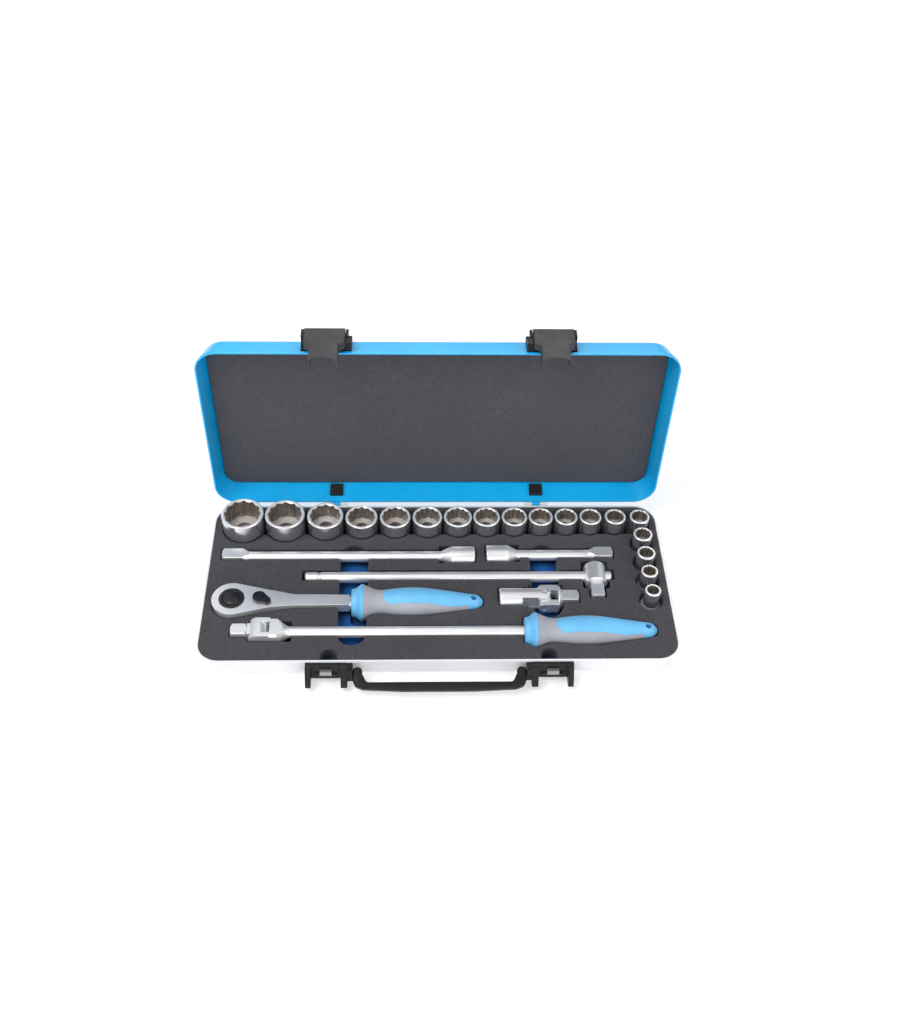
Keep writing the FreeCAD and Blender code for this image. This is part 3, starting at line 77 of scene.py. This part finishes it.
class Finish:
    """One material, with short calls that add nodes to it."""

    def __init__(self, name, **sockets):
        self.material = bpy.data.materials.new(name)
        self.material.use_nodes = True
        self.tree = self.material.node_tree
        self.shader = self.tree.nodes["Principled BSDF"]
        for socket, value in sockets.items():
            self.shader.inputs[socket.replace("_", " ")].default_value = value

    def add(self, kind, settings=None, **inputs):
        made = self.tree.nodes.new("ShaderNode" + kind)
        for key, value in (settings or {}).items():
            setattr(made, key, value)
        for key, value in inputs.items():
            self.feed(made.inputs[key.replace("_", " ")], value)
        return made

    def feed(self, socket, value):
        if isinstance(value, bpy.types.NodeSocket):
            self.tree.links.new(value, socket)
        else:
            socket.default_value = value

    def set(self, socket, value):
        self.feed(self.shader.inputs[socket], value)

    def place(self, scale=(1, 1, 1), turn=(0, 0, 0)):
        """The piece's own coordinates in the row frame, so that a pattern moves with its piece."""
        where = self.add("TexCoord").outputs["Object"]
        mapping = self.add("Mapping", Vector=where, Scale=scale, Rotation=turn)
        return mapping.outputs["Vector"]

    def axes(self, vector):
        """The X, Y and Z of a vector, as outputs by name."""
        return self.add("SeparateXYZ", Vector=vector).outputs

    def noise(self, scale, detail=3.0, rough=0.55, where=None, distort=0.0):
        made = self.add("TexNoise", Scale=scale, Detail=detail, Roughness=rough, Distortion=distort)
        self.feed(made.inputs["Vector"], self.place() if where is None else where)
        return made.outputs["Fac"]

    def cells(self, scale):
        return self.add("TexVoronoi", Scale=scale, Vector=self.place()).outputs["Distance"]

    def fit(self, value, low, high, to_low=0.0, to_high=1.0):
        """Eases a value from the range low to high into the range to_low to to_high."""
        made = self.add("MapRange", {"interpolation_type": "SMOOTHSTEP"}, Value=value)
        for key, number in (("From Min", low), ("From Max", high), ("To Min", to_low), ("To Max", to_high)):
            made.inputs[key].default_value = number
        return made.outputs["Result"]

    def math(self, operation, a, b=0.0):
        made = self.add("Math", {"operation": operation})
        self.feed(made.inputs[0], a)
        self.feed(made.inputs[1], b)
        return made.outputs["Value"]

    def times(self, a, b):
        return self.math("MULTIPLY", a, b)

    def mix(self, amount, a, b):
        made = self.add("Mix", {"data_type": "RGBA"})
        self.feed(made.inputs["Factor"], amount)
        self.feed(made.inputs[MIX_A], a)
        self.feed(made.inputs[MIX_B], b)
        return made.outputs[MIX_RESULT]

    def bump(self, height, strength, distance, under=None):
        made = self.add("Bump", Height=height, Strength=strength, Distance=distance)
        if under is not None:
            self.feed(made.inputs["Normal"], under)
        return made.outputs["Normal"]

    def rounded(self, radius):
        """Normal of the surface with its edges rounded."""
        return self.add("Bevel", {"samples": 4}, Radius=radius).outputs["Normal"]

    def recess(self, reach, open_at=0.75):
        """1 deep in a gap or pocket, 0 in the open, by how much of the sky is hidden within reach."""
        seen = self.add("AmbientOcclusion", {"samples": 8}, Distance=reach).outputs["AO"]
        return self.fit(seen, 0.1, open_at, 1.0, 0.0)

    def edges(self, radius, low=0.05, high=0.45):
        """1 on edges and corners, 0 on open faces: how far the rounded normal leans from the true one."""
        true = self.add("NewGeometry").outputs["Normal"]
        lean = self.add("VectorMath", {"operation": "DISTANCE"})
        self.feed(lean.inputs[0], self.rounded(radius))
        self.feed(lean.inputs[1], true)
        return self.fit(lean.outputs["Value"], low, high)


def colour(red, green, blue):
    """An sRGB colour of 0 to 255 as the linear one a shader takes."""
    def linear(value):
        value /= 255
        return value / 12.92 if value <= 0.04045 else ((value + 0.055) / 1.055) ** 2.4
    return (linear(red), linear(green), linear(blue), 1.0)


def scaled(tone, by):
    return (min(tone[0] * by, 1), min(tone[1] * by, 1), min(tone[2] * by, 1), 1.0)


# ---------------------------------------------------------------- finishes

def painted_steel(name, tone, wear_and_highlight, roughness=0.34):
    """Powder-coated sheet: fine orange peel, faint drift of tone, lighter edges that are partly rubbed wear
    and partly painted highlight, hairline scratches.
    """
    f = Finish(name, Coat_Weight=0.7, Coat_Roughness=0.2, Specular_IOR_Level=0.4)
    drift = f.noise(14, detail=4)
    base = f.mix(f.fit(drift, 0.3, 0.7), scaled(tone, 0.94), scaled(tone, 1.05))
    # Edges are lightened in patches: partly rubbed wear, partly painted highlight.
    rubbed_and_highlit_edges = f.times(f.edges(0.7 * MM), f.fit(f.noise(160, detail=5), 0.42, 0.62))
    base = f.mix(f.times(rubbed_and_highlit_edges, 0.55), base, wear_and_highlight)
    lines = f.noise(60, detail=6, rough=0.7, where=f.place(scale=(1, 9, 4), turn=(0.3, 0.2, 0.9)))
    scratch = f.fit(lines, 0.71, 0.74)
    base = f.mix(f.times(scratch, 0.18), base, scaled(wear_and_highlight, 1.1))
    f.set("Base Color", base)
    smudge = f.fit(f.noise(34, detail=5, rough=0.65), 0.35, 0.75, roughness - 0.05, roughness + 0.12)
    f.set("Roughness", smudge)
    peel = f.noise(900, detail=2)
    f.set("Normal", f.bump(peel, 0.16, 0.12 * MM, under=f.rounded(0.6 * MM)))
    return f.material


def cell_foam(name, tone, dusty, grain=1.0, pressed=False):
    """Closed-cell foam: fine pores, a skin that catches dust, edges rubbed lighter, and painted shade
    darkening its gaps and pockets.
    """
    f = Finish(name, Roughness=0.92, Specular_IOR_Level=0.28, Sheen_Weight=0.18, Sheen_Roughness=0.6)
    f.shader.inputs["Sheen Tint"].default_value = (0.75, 0.77, 0.85, 1)
    patches = f.fit(f.noise(11, detail=5, rough=0.6), 0.3, 0.72)
    base = f.mix(patches, scaled(tone, 0.9), scaled(tone, 1.12))
    blotch = f.fit(f.noise(260, detail=7, rough=0.8), 0.36, 0.64)
    base = f.mix(f.times(blotch, 0.8), base, scaled(tone, 0.72))
    speck = f.fit(f.noise(900, detail=5, rough=0.75), 0.35, 0.68)
    base = f.mix(f.times(speck, 0.45), base, scaled(tone, 1.5))
    dust = f.fit(f.noise(70, detail=8, rough=0.75), 0.6, 0.82)
    base = f.mix(f.times(dust, 0.22), base, dusty)
    rub = f.times(f.edges(1.1 * MM, 0.08, 0.6), f.fit(f.noise(90, detail=4), 0.35, 0.6))
    base = f.mix(f.times(rub, 0.4), base, dusty)
    # Painted shade: the foam is darkened nearly to black deep in its gaps and pockets.
    painted_shade = f.times(f.recess(15 * MM, 0.72), 0.93)
    f.set("Base Color", f.mix(painted_shade, base, scaled(tone, 0.08)))
    f.set("Roughness", f.fit(f.noise(260, detail=3), 0.3, 0.7, 0.82, 0.98))
    pores = f.math("SUBTRACT", 1.0, f.fit(f.cells(1500), 0.0, 0.42))
    height = f.math("ADD", f.times(pores, -0.6), f.noise(2400, detail=2))
    normal = f.bump(height, 0.32 * grain, 0.22 * MM)
    if pressed:
        creases = f.fit(f.noise(42, detail=7, rough=0.72, distort=0.8), 0.58, 0.8)
        normal = f.bump(creases, 0.5, 0.5 * MM, under=normal)
    f.set("Normal", normal)
    return f.material


def moulded_plastic(name, tone, scuffed_and_highlight, roughness, shine=0.5):
    """Spark-textured nylon: fine matte grain, shinier where handled, paler edges that are partly rubbed
    wear and partly painted highlight.
    """
    f = Finish(name, Specular_IOR_Level=shine)
    drift = f.fit(f.noise(30, detail=4), 0.3, 0.7)
    base = f.mix(drift, scaled(tone, 0.88), scaled(tone, 1.15))
    # Edges are lightened in patches: partly rubbed wear, partly painted highlight.
    rub = f.times(f.edges(0.5 * MM), f.fit(f.noise(220, detail=5), 0.35, 0.62))
    base = f.mix(f.times(rub, 0.5), base, scuffed_and_highlight)
    f.set("Base Color", base)
    handled = f.noise(55, detail=6, rough=0.7)
    f.set("Roughness", f.fit(handled, 0.3, 0.75, roughness - 0.09, roughness + 0.14))
    grain = f.noise(2600, detail=2, rough=0.6)
    f.set("Normal", f.bump(grain, 0.25, 0.1 * MM, under=f.rounded(1.1 * MM)))
    return f.material


def plated_steel(name, tone, roughness, along=(1, 1, 1)):
    """Satin chrome, with a painted highlight near white on its edges and painted shade in its gaps and
    pockets. Polishing lines run along the axis whose scale is the smallest.
    """
    f = Finish(name, Metallic=0.74, Specular_IOR_Level=0.6)
    drift = f.fit(f.noise(26, detail=3), 0.3, 0.7)
    base = f.mix(drift, scaled(tone, 0.95), scaled(tone, 1.03))
    # Painted highlight: edges are lightened to near white.
    base = f.mix(f.times(f.edges(0.5 * MM), 0.6), base, (0.97, 0.97, 0.98, 1))
    # Painted shade: gaps and pockets are darkened.
    base = f.mix(f.times(f.recess(3 * MM), 0.6), base, scaled(tone, 0.2))
    f.set("Base Color", base)
    streak = f.noise(900, detail=4, rough=0.6, where=f.place(scale=along))
    smudge = f.fit(f.noise(30, detail=4), 0.35, 0.75, roughness - 0.02, roughness + 0.05)
    f.set("Roughness", f.math("ADD", f.fit(streak, 0.3, 0.7, -0.03, 0.04), smudge))
    f.set("Normal", f.bump(streak, 0.05, 0.05 * MM, under=f.rounded(0.7 * MM)))
    return f.material


def socket_steel(name, centre, mouth, top):
    """A socket's chrome: satin outside, its rim painted near white as a painted highlight, brown-grey
    broached walls, a paler web inside that is partly its own tone and partly painted highlight, and painted
    shade deep in its hollows.

    mouth is the rim's outer radius and top its height.
    """
    rim_depth = 0.25 * MM
    cone_depth = 3 * MM
    f = Finish(name)
    spot = f.axes(f.add("TexCoord").outputs["Object"])
    across = f.math("SUBTRACT", spot["X"], centre.x)
    away = f.math("SUBTRACT", spot["Y"], centre.y)
    radius = f.math("SQRT", f.math("ADD", f.times(across, across), f.times(away, away)))
    in_bore = f.math("LESS_THAN", radius, mouth)
    inside = f.times(in_bore, f.math("LESS_THAN", spot["Z"], top - rim_depth))
    facing = f.axes(f.add("NewGeometry").outputs["Normal"])["Z"]
    level = f.fit(f.math("ABSOLUTE", facing), 0.4, 0.85)
    drift = f.fit(f.noise(45, detail=3), 0.3, 0.7)
    outer = f.mix(drift, (0.74, 0.75, 0.77, 1), (0.82, 0.83, 0.85, 1))
    # Painted highlight: outside faces that point up or down, the rim among them, are painted near white.
    outer = f.mix(level, outer, (0.97, 0.97, 0.975, 1))
    streaky = f.noise(420, detail=5, rough=0.7, where=f.place(scale=(1, 1, 0.25)))
    broached = f.mix(f.fit(streaky, 0.3, 0.75), (0.12, 0.095, 0.08, 1), (0.34, 0.30, 0.26, 1))
    web = f.mix(drift, (0.80, 0.74, 0.70, 1), (0.92, 0.88, 0.85, 1))
    in_hole = f.math("LESS_THAN", radius, mouth / 2)
    deep = f.math("LESS_THAN", spot["Z"], top - cone_depth)
    floor = f.mix(deep, (0.60, 0.585, 0.57, 1), web)
    # Inside, level faces and the drive hole take the paler web tone: partly the web's own colour, partly
    # painted highlight.
    pale = f.math("MAXIMUM", level, f.times(in_hole, 0.6))
    base = f.mix(inside, outer, f.mix(pale, broached, floor))
    # Painted shade: the socket darkens nearly to black deep in its hollows.
    f.set("Base Color", f.mix(f.times(f.recess(4 * MM), 0.4), base, (0.08, 0.08, 0.085, 1)))
    # Level outside faces lose half their metal, so their painted near white shows as a matte highlight.
    painted_highlight_tops = f.times(level, f.math("SUBTRACT", 1.0, inside))
    metal = f.math("SUBTRACT", 0.95, f.times(inside, 0.5))
    f.set("Metallic", f.math("SUBTRACT", metal, f.times(painted_highlight_tops, 0.5)))
    turned = f.noise(700, detail=4, where=f.place(scale=(0.35, 0.35, 5)))
    smudge = f.fit(f.noise(45, detail=4), 0.35, 0.75, 0.19, 0.24)
    satin = f.math("ADD", f.fit(turned, 0.3, 0.7, -0.02, 0.03), smudge)
    f.set("Roughness", f.math("ADD", satin, f.times(inside, 0.15)))
    f.set("Normal", f.bump(turned, 0.035, 0.05 * MM, under=f.rounded(0.5 * MM)))
    return f.material


def hinge_finish(name, clip_start, paint, plastic):
    """Leaves and knuckles painted like the lid, and black plastic clips on the inside of its wall.

    clip_start is the height, with the lid open, above which the plastic shows.
    """
    f = Finish(name, Specular_IOR_Level=0.45)
    height = f.axes(f.add("TexCoord").outputs["Object"])["Z"]
    clip = f.math("GREATER_THAN", height, clip_start)
    tone = f.mix(clip, paint, plastic)
    # Edges are lightened in patches: partly wear, partly painted highlight.
    wear_and_highlight = f.times(f.edges(0.5 * MM), f.fit(f.noise(180, detail=5), 0.4, 0.62))
    f.set("Base Color", f.mix(f.times(wear_and_highlight, 0.4), tone, f.mix(clip, scaled(paint, 1.3), DUST)))
    f.set("Roughness", f.fit(f.noise(60, detail=5), 0.3, 0.75, 0.34, 0.5))
    f.set("Normal", f.bump(f.noise(2000, detail=2), 0.2, 0.1 * MM, under=f.rounded(0.5 * MM)))
    return f.material


def soft_rubber(name, tone, grimy, roughness=0.52):
    """Overmoulded grip rubber: silky grain, faint handling marks, slightly glossier ridges."""
    f = Finish(name, Specular_IOR_Level=0.42, Sheen_Weight=0.08, Sheen_Roughness=0.4)
    drift = f.fit(f.noise(40, detail=5), 0.3, 0.7)
    base = f.mix(drift, scaled(tone, 0.93), scaled(tone, 1.06))
    marks = f.fit(f.noise(120, detail=8, rough=0.78), 0.62, 0.85)
    base = f.mix(f.times(marks, 0.2), base, grimy)
    f.set("Base Color", base)
    handled = f.noise(75, detail=6, rough=0.7)
    f.set("Roughness", f.fit(handled, 0.3, 0.75, roughness - 0.08, roughness + 0.1))
    f.set("Normal", f.bump(f.noise(2200, detail=2), 0.2, 0.1 * MM, under=f.rounded(0.8 * MM)))
    return f.material


SKY = colour(0, 177, 241)
SILVER = colour(232, 232, 236)
CHARCOAL = colour(62, 61, 65)
DEEP_BLUE = colour(0, 92, 166)
PAD = colour(70, 68, 73)
DUST = colour(150, 150, 156)
BLACK = colour(25, 25, 27)
SOOT = colour(50, 50, 54)
BRIGHT = (0.86, 0.86, 0.875, 1)

# The second colour lightens edges and scratches: partly wear, partly painted highlight.
lid_paint = painted_steel("sky_blue_paint", SKY, colour(150, 215, 250))
tray_paint = painted_steel("silver_paint", SILVER, colour(248, 248, 250), 0.4)
foam_dark = cell_foam("charcoal_foam", CHARCOAL, DUST)
foam_blue = cell_foam("blue_foam", DEEP_BLUE, colour(60, 150, 220))
foam_pad = cell_foam("lid_pad_foam", PAD, DUST, grain=1.2, pressed=True)
# For the plastics, the second colour lightens edges: partly scuffing, partly painted highlight.
black_plastic = moulded_plastic("black_nylon", BLACK, colour(110, 110, 114), 0.4, shine=0.22)
lever_plastic = moulded_plastic("lever_nylon", SOOT, colour(125, 125, 130), 0.5)
clip_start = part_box("lid_shell")[0].z + 1.4 * MM
lid_hinge_mix = hinge_finish("lid_hinge_paint_and_clips", clip_start, SKY, BLACK)
tool_black = moulded_plastic("black_oxide_and_plastic", colour(27, 27, 30), colour(95, 95, 100), 0.24)
zinc_plate = plated_steel("zinc_plated_steel", (0.66, 0.66, 0.66, 1), 0.36)
catch_zinc = plated_steel("dull_zinc_catch", (0.34, 0.34, 0.35, 1), 0.42)
bar_chrome = plated_steel("satin_chrome_bar", BRIGHT, 0.36, along=(0.04, 1, 1))
head_chrome = plated_steel("satin_chrome_head", BRIGHT, 0.32, along=(1, 0.3, 1))
grip_grey = soft_rubber("grey_grip_rubber", colour(163, 165, 174), colour(110, 110, 116))
grip_blue = soft_rubber("blue_grip_rubber", colour(106, 184, 232), colour(50, 120, 180), 0.46)


# ---------------------------------------------------------------- hard parts

def paint_node(name, material):
    for slot in nodes[name].material_slots:
        slot.link = "OBJECT"
        slot.material = material


FINISHES = {
    lid_paint: ["lid_shell"],
    tray_paint: ["base_tray", "base_hinges"],
    lid_hinge_mix: ["lid_hinges"],
    black_plastic: ["latch_bracket_left", "latch_bracket_right", "carry_handle",
                    "latch_mount_left", "latch_mount_right"],
    lever_plastic: ["latch_lever_left", "latch_lever_right"],
    zinc_plate: ["hinge_pins", "handle_pins", "latch_pins", "extension_long_ball",
                 "extension_short_ball", "tee_ball", "ratchet_pawl"],
    catch_zinc: ["catch_plates"],
    bar_chrome: ["extension_long", "extension_short", "tee_bar", "breaker_bar", "breaker_pin"],
    head_chrome: ["tee_head", "ratchet_handle", "ratchet_drive", "breaker_head", "uj_socket_yoke",
                  "uj_cross", "uj_drive_yoke"],
    tool_black: ["ratchet_cover", "ratchet_button", "ratchet_lever"],
    grip_grey: ["ratchet_grip", "breaker_grip"],
    grip_blue: ["ratchet_trim", "breaker_trim"],
}
for material, names in FINISHES.items():
    for name in names:
        paint_node(name, material)


def finish_socket(name):
    """Gives a socket its chrome. The rim's radius is measured, as the foot can be wider than the rim."""
    low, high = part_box(name)
    centre = (low + high) / 2
    to_frame = nodes[name].matrix_world
    spots = [to_frame @ vertex.co for vertex in nodes[name].data.vertices]
    rim = [spot - centre for spot in spots if spot.z > high.z - 0.1 * MM]
    mouth = max(math.hypot(reach.x, reach.y) for reach in rim)
    paint_node(name, socket_steel(name + "_chrome", centre, mouth, high.z))


for name in sorted(nodes):
    if name.startswith("socket_"):
        finish_socket(name)


# ---------------------------------------------------------------- soft pieces

def swell(points, *waves):
    """Slow smooth ripple over points: a sum of slanted sine waves, each (height, length, phase)."""
    between_waves = 2.4
    total = numpy.zeros(len(points))
    for i, (height, length, phase) in enumerate(waves):
        heading = i * between_waves + phase
        slant = numpy.array((math.cos(heading), math.sin(heading), 0.6 * math.cos(i + phase)))
        total += height * numpy.sin(points @ slant * (2 * math.pi / length) + phase)
    return total


def soft_copy(node_name, name, voxel, keep, relief, squared):
    """A new piece in the shape of a CAD node: remeshed, its edges rounded, its faces let wander by relief.

    keep is the share of the remeshed triangles that stays. squared is the turn that lines the piece's
    faces up with the axes while it is remeshed.
    """
    source = nodes[node_name]
    piece = bpy.data.objects.new(name, source.data.copy())
    bpy.context.scene.collection.objects.link(piece)
    piece.data.materials.clear()
    piece.data.transform(squared)
    weld = piece.modifiers.new("weld", "WELD")
    weld.merge_threshold = WELD_GAP
    remesh = piece.modifiers.new("remesh", "REMESH")
    remesh.mode = "VOXEL"
    remesh.voxel_size = voxel
    remesh.use_smooth_shade = True
    smooth = piece.modifiers.new("smooth", "SMOOTH")
    smooth.factor = 0.5
    smooth.iterations = 3
    thin = piece.modifiers.new("thin", "DECIMATE")
    thin.ratio = keep
    dg = bpy.context.evaluated_depsgraph_get()
    mesh = bpy.data.meshes.new_from_object(piece.evaluated_get(dg))
    piece.modifiers.clear()
    mesh.transform(squared.inverted())
    piece.data = mesh
    spots = numpy.empty(len(mesh.vertices) * 3)
    leans = numpy.empty(len(mesh.vertices) * 3)
    mesh.vertices.foreach_get("co", spots)
    mesh.vertices.foreach_get("normal", leans)
    spots, leans = spots.reshape(-1, 3), leans.reshape(-1, 3)
    spots += leans * relief(spots)[:, None]
    mesh.vertices.foreach_set("co", spots.ravel())
    mesh.polygons.foreach_set("use_smooth", numpy.ones(len(mesh.polygons), dtype=bool))
    mesh.update()
    return piece


def foam_relief(points):
    """Slow swell of a foam face, under a tenth of a millimetre."""
    return swell(points, (0.04 * MM, 0.11, 0.3), (0.03 * MM, 0.047, 1.9))


def pad_relief(points):
    """The lid pad's face sags a little between its glued edges."""
    return swell(points, (0.12 * MM, 0.21, 0.8), (0.07 * MM, 0.083, 2.1), (0.04 * MM, 0.031, 4.0))


def add_soft(node_name, name, body, material, voxel, keep, relief, squared=Matrix.Identity(4)):
    """Stands a soft piece in for a CAD node, on the node's body."""
    piece = soft_copy(node_name, name, voxel, keep, relief, squared)
    piece.data.materials.append(material)
    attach(piece, body)
    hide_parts(node_name)


coarse = 1.0
tray_voxel = 0.8 * MM * coarse
underlay_voxel = 1.2 * MM * coarse
pad_voxel = 1.0 * MM
foam_keep = 0.35
pad_keep = 0.5
upright = Matrix.Rotation(math.radians(OPEN_ANGLE - 90), 4, "X")

add_soft("foam_top", "foam_tray", "base", foam_dark,
         tray_voxel, foam_keep, foam_relief)
add_soft("foam_bottom", "foam_underlay", "base", foam_blue,
         underlay_voxel, foam_keep, foam_relief)
add_soft("lid_liner", "lid_pad", "lid", foam_pad,
         pad_voxel, pad_keep, pad_relief, upright)


# ---------------------------------------------------------------- stage, light and camera

def make_floor():
    """Bright paper under the case, with its own glow so that it reads as white."""
    half = 6.0
    below_case = 0.05 * MM
    mesh = bpy.data.meshes.new("floor")
    corners = [(-half, -half, 0), (half, -half, 0), (half, half, 0), (-half, half, 0)]
    mesh.from_pydata(corners, [], [(0, 1, 2, 3)])
    floor = bpy.data.objects.new("floor", mesh)
    bpy.context.scene.collection.objects.link(floor)
    floor.location.z = cad_low.z - below_case
    f = Finish("floor_paper", Roughness=0.75, Specular_IOR_Level=0.1, Emission_Strength=0.45)
    f.shader.inputs["Emission Color"].default_value = (1, 1, 1, 1)
    f.set("Base Color", f.mix(f.noise(3, detail=2), (0.60, 0.60, 0.605, 1), (0.63, 0.63, 0.635, 1)))
    mesh.materials.append(f.material)


def make_light(name, location, aim, size, watts):
    """A square area light that faces aim."""
    data = bpy.data.lights.new(name, "AREA")
    data.energy = watts
    data.size = size
    lamp = bpy.data.objects.new(name, data)
    bpy.context.scene.collection.objects.link(lamp)
    lamp.location = location
    lamp.rotation_mode = "QUATERNION"
    lamp.rotation_quaternion = (Vector(aim) - Vector(location)).to_track_quat("-Z", "Y")


def make_world(strength):
    """A studio's even light, pale grey at the horizon and white overhead."""
    world = bpy.data.worlds.new("studio")
    world.use_nodes = True
    tree = world.node_tree
    where = tree.nodes.new("ShaderNodeTexCoord")
    parts = tree.nodes.new("ShaderNodeSeparateXYZ")
    ramp = tree.nodes.new("ShaderNodeValToRGB")
    back = tree.nodes["Background"]
    tree.links.new(where.outputs["Generated"], parts.inputs[0])
    tree.links.new(parts.outputs["Z"], ramp.inputs[0])
    tree.links.new(ramp.outputs[0], back.inputs["Color"])
    ramp.color_ramp.elements[0].position = 0.0
    ramp.color_ramp.elements[0].color = (0.62, 0.63, 0.65, 1)
    ramp.color_ramp.elements[1].position = 0.55
    ramp.color_ramp.elements[1].color = (1, 1, 1, 1)
    back.inputs["Strength"].default_value = strength
    bpy.context.scene.world = world


def make_camera():
    """Looks down at the open case from in front, a little turned and rolled."""
    eye = (-0.02703, -0.76898, 0.92612)
    yaw = math.radians(2.625)
    down = math.radians(46.2785)
    roll = math.radians(1.826)
    ahead = Vector((math.sin(yaw) * math.cos(down), math.cos(yaw) * math.cos(down), -math.sin(down)))
    right = ahead.cross(Vector((0, 0, 1))).normalized()
    up = right.cross(ahead)
    rolled_right = right * math.cos(roll) + up * math.sin(roll)
    rolled_up = up * math.cos(roll) - right * math.sin(roll)
    data = bpy.data.cameras.new("camera")
    data.lens = 42.17
    data.sensor_width = 36
    data.clip_start = 0.05
    data.clip_end = 60
    camera = bpy.data.objects.new("camera", data)
    bpy.context.scene.collection.objects.link(camera)
    turn = Matrix((rolled_right, rolled_up, -ahead)).transposed().to_4x4()
    camera.matrix_world = Matrix.Translation(eye) @ turn
    bpy.context.scene.camera = camera


tools = (0, 0, 0.05)
lid = (0, 0, 0.1)
make_floor()
make_world(strength=0.62)
make_light("key", (-0.8, -0.4, 1.6), aim=tools, size=0.9, watts=17)
make_light("fill", (1.3, -0.9, 1.2), aim=tools, size=1.2, watts=7)
make_light("back", (0.2, 1.6, 1.5), aim=lid, size=1.4, watts=8)
make_light("front", (0.1, -1.8, 0.45), aim=tools, size=1.2, watts=9)
make_camera()
bpy.context.scene.view_settings.view_transform = "Standard"
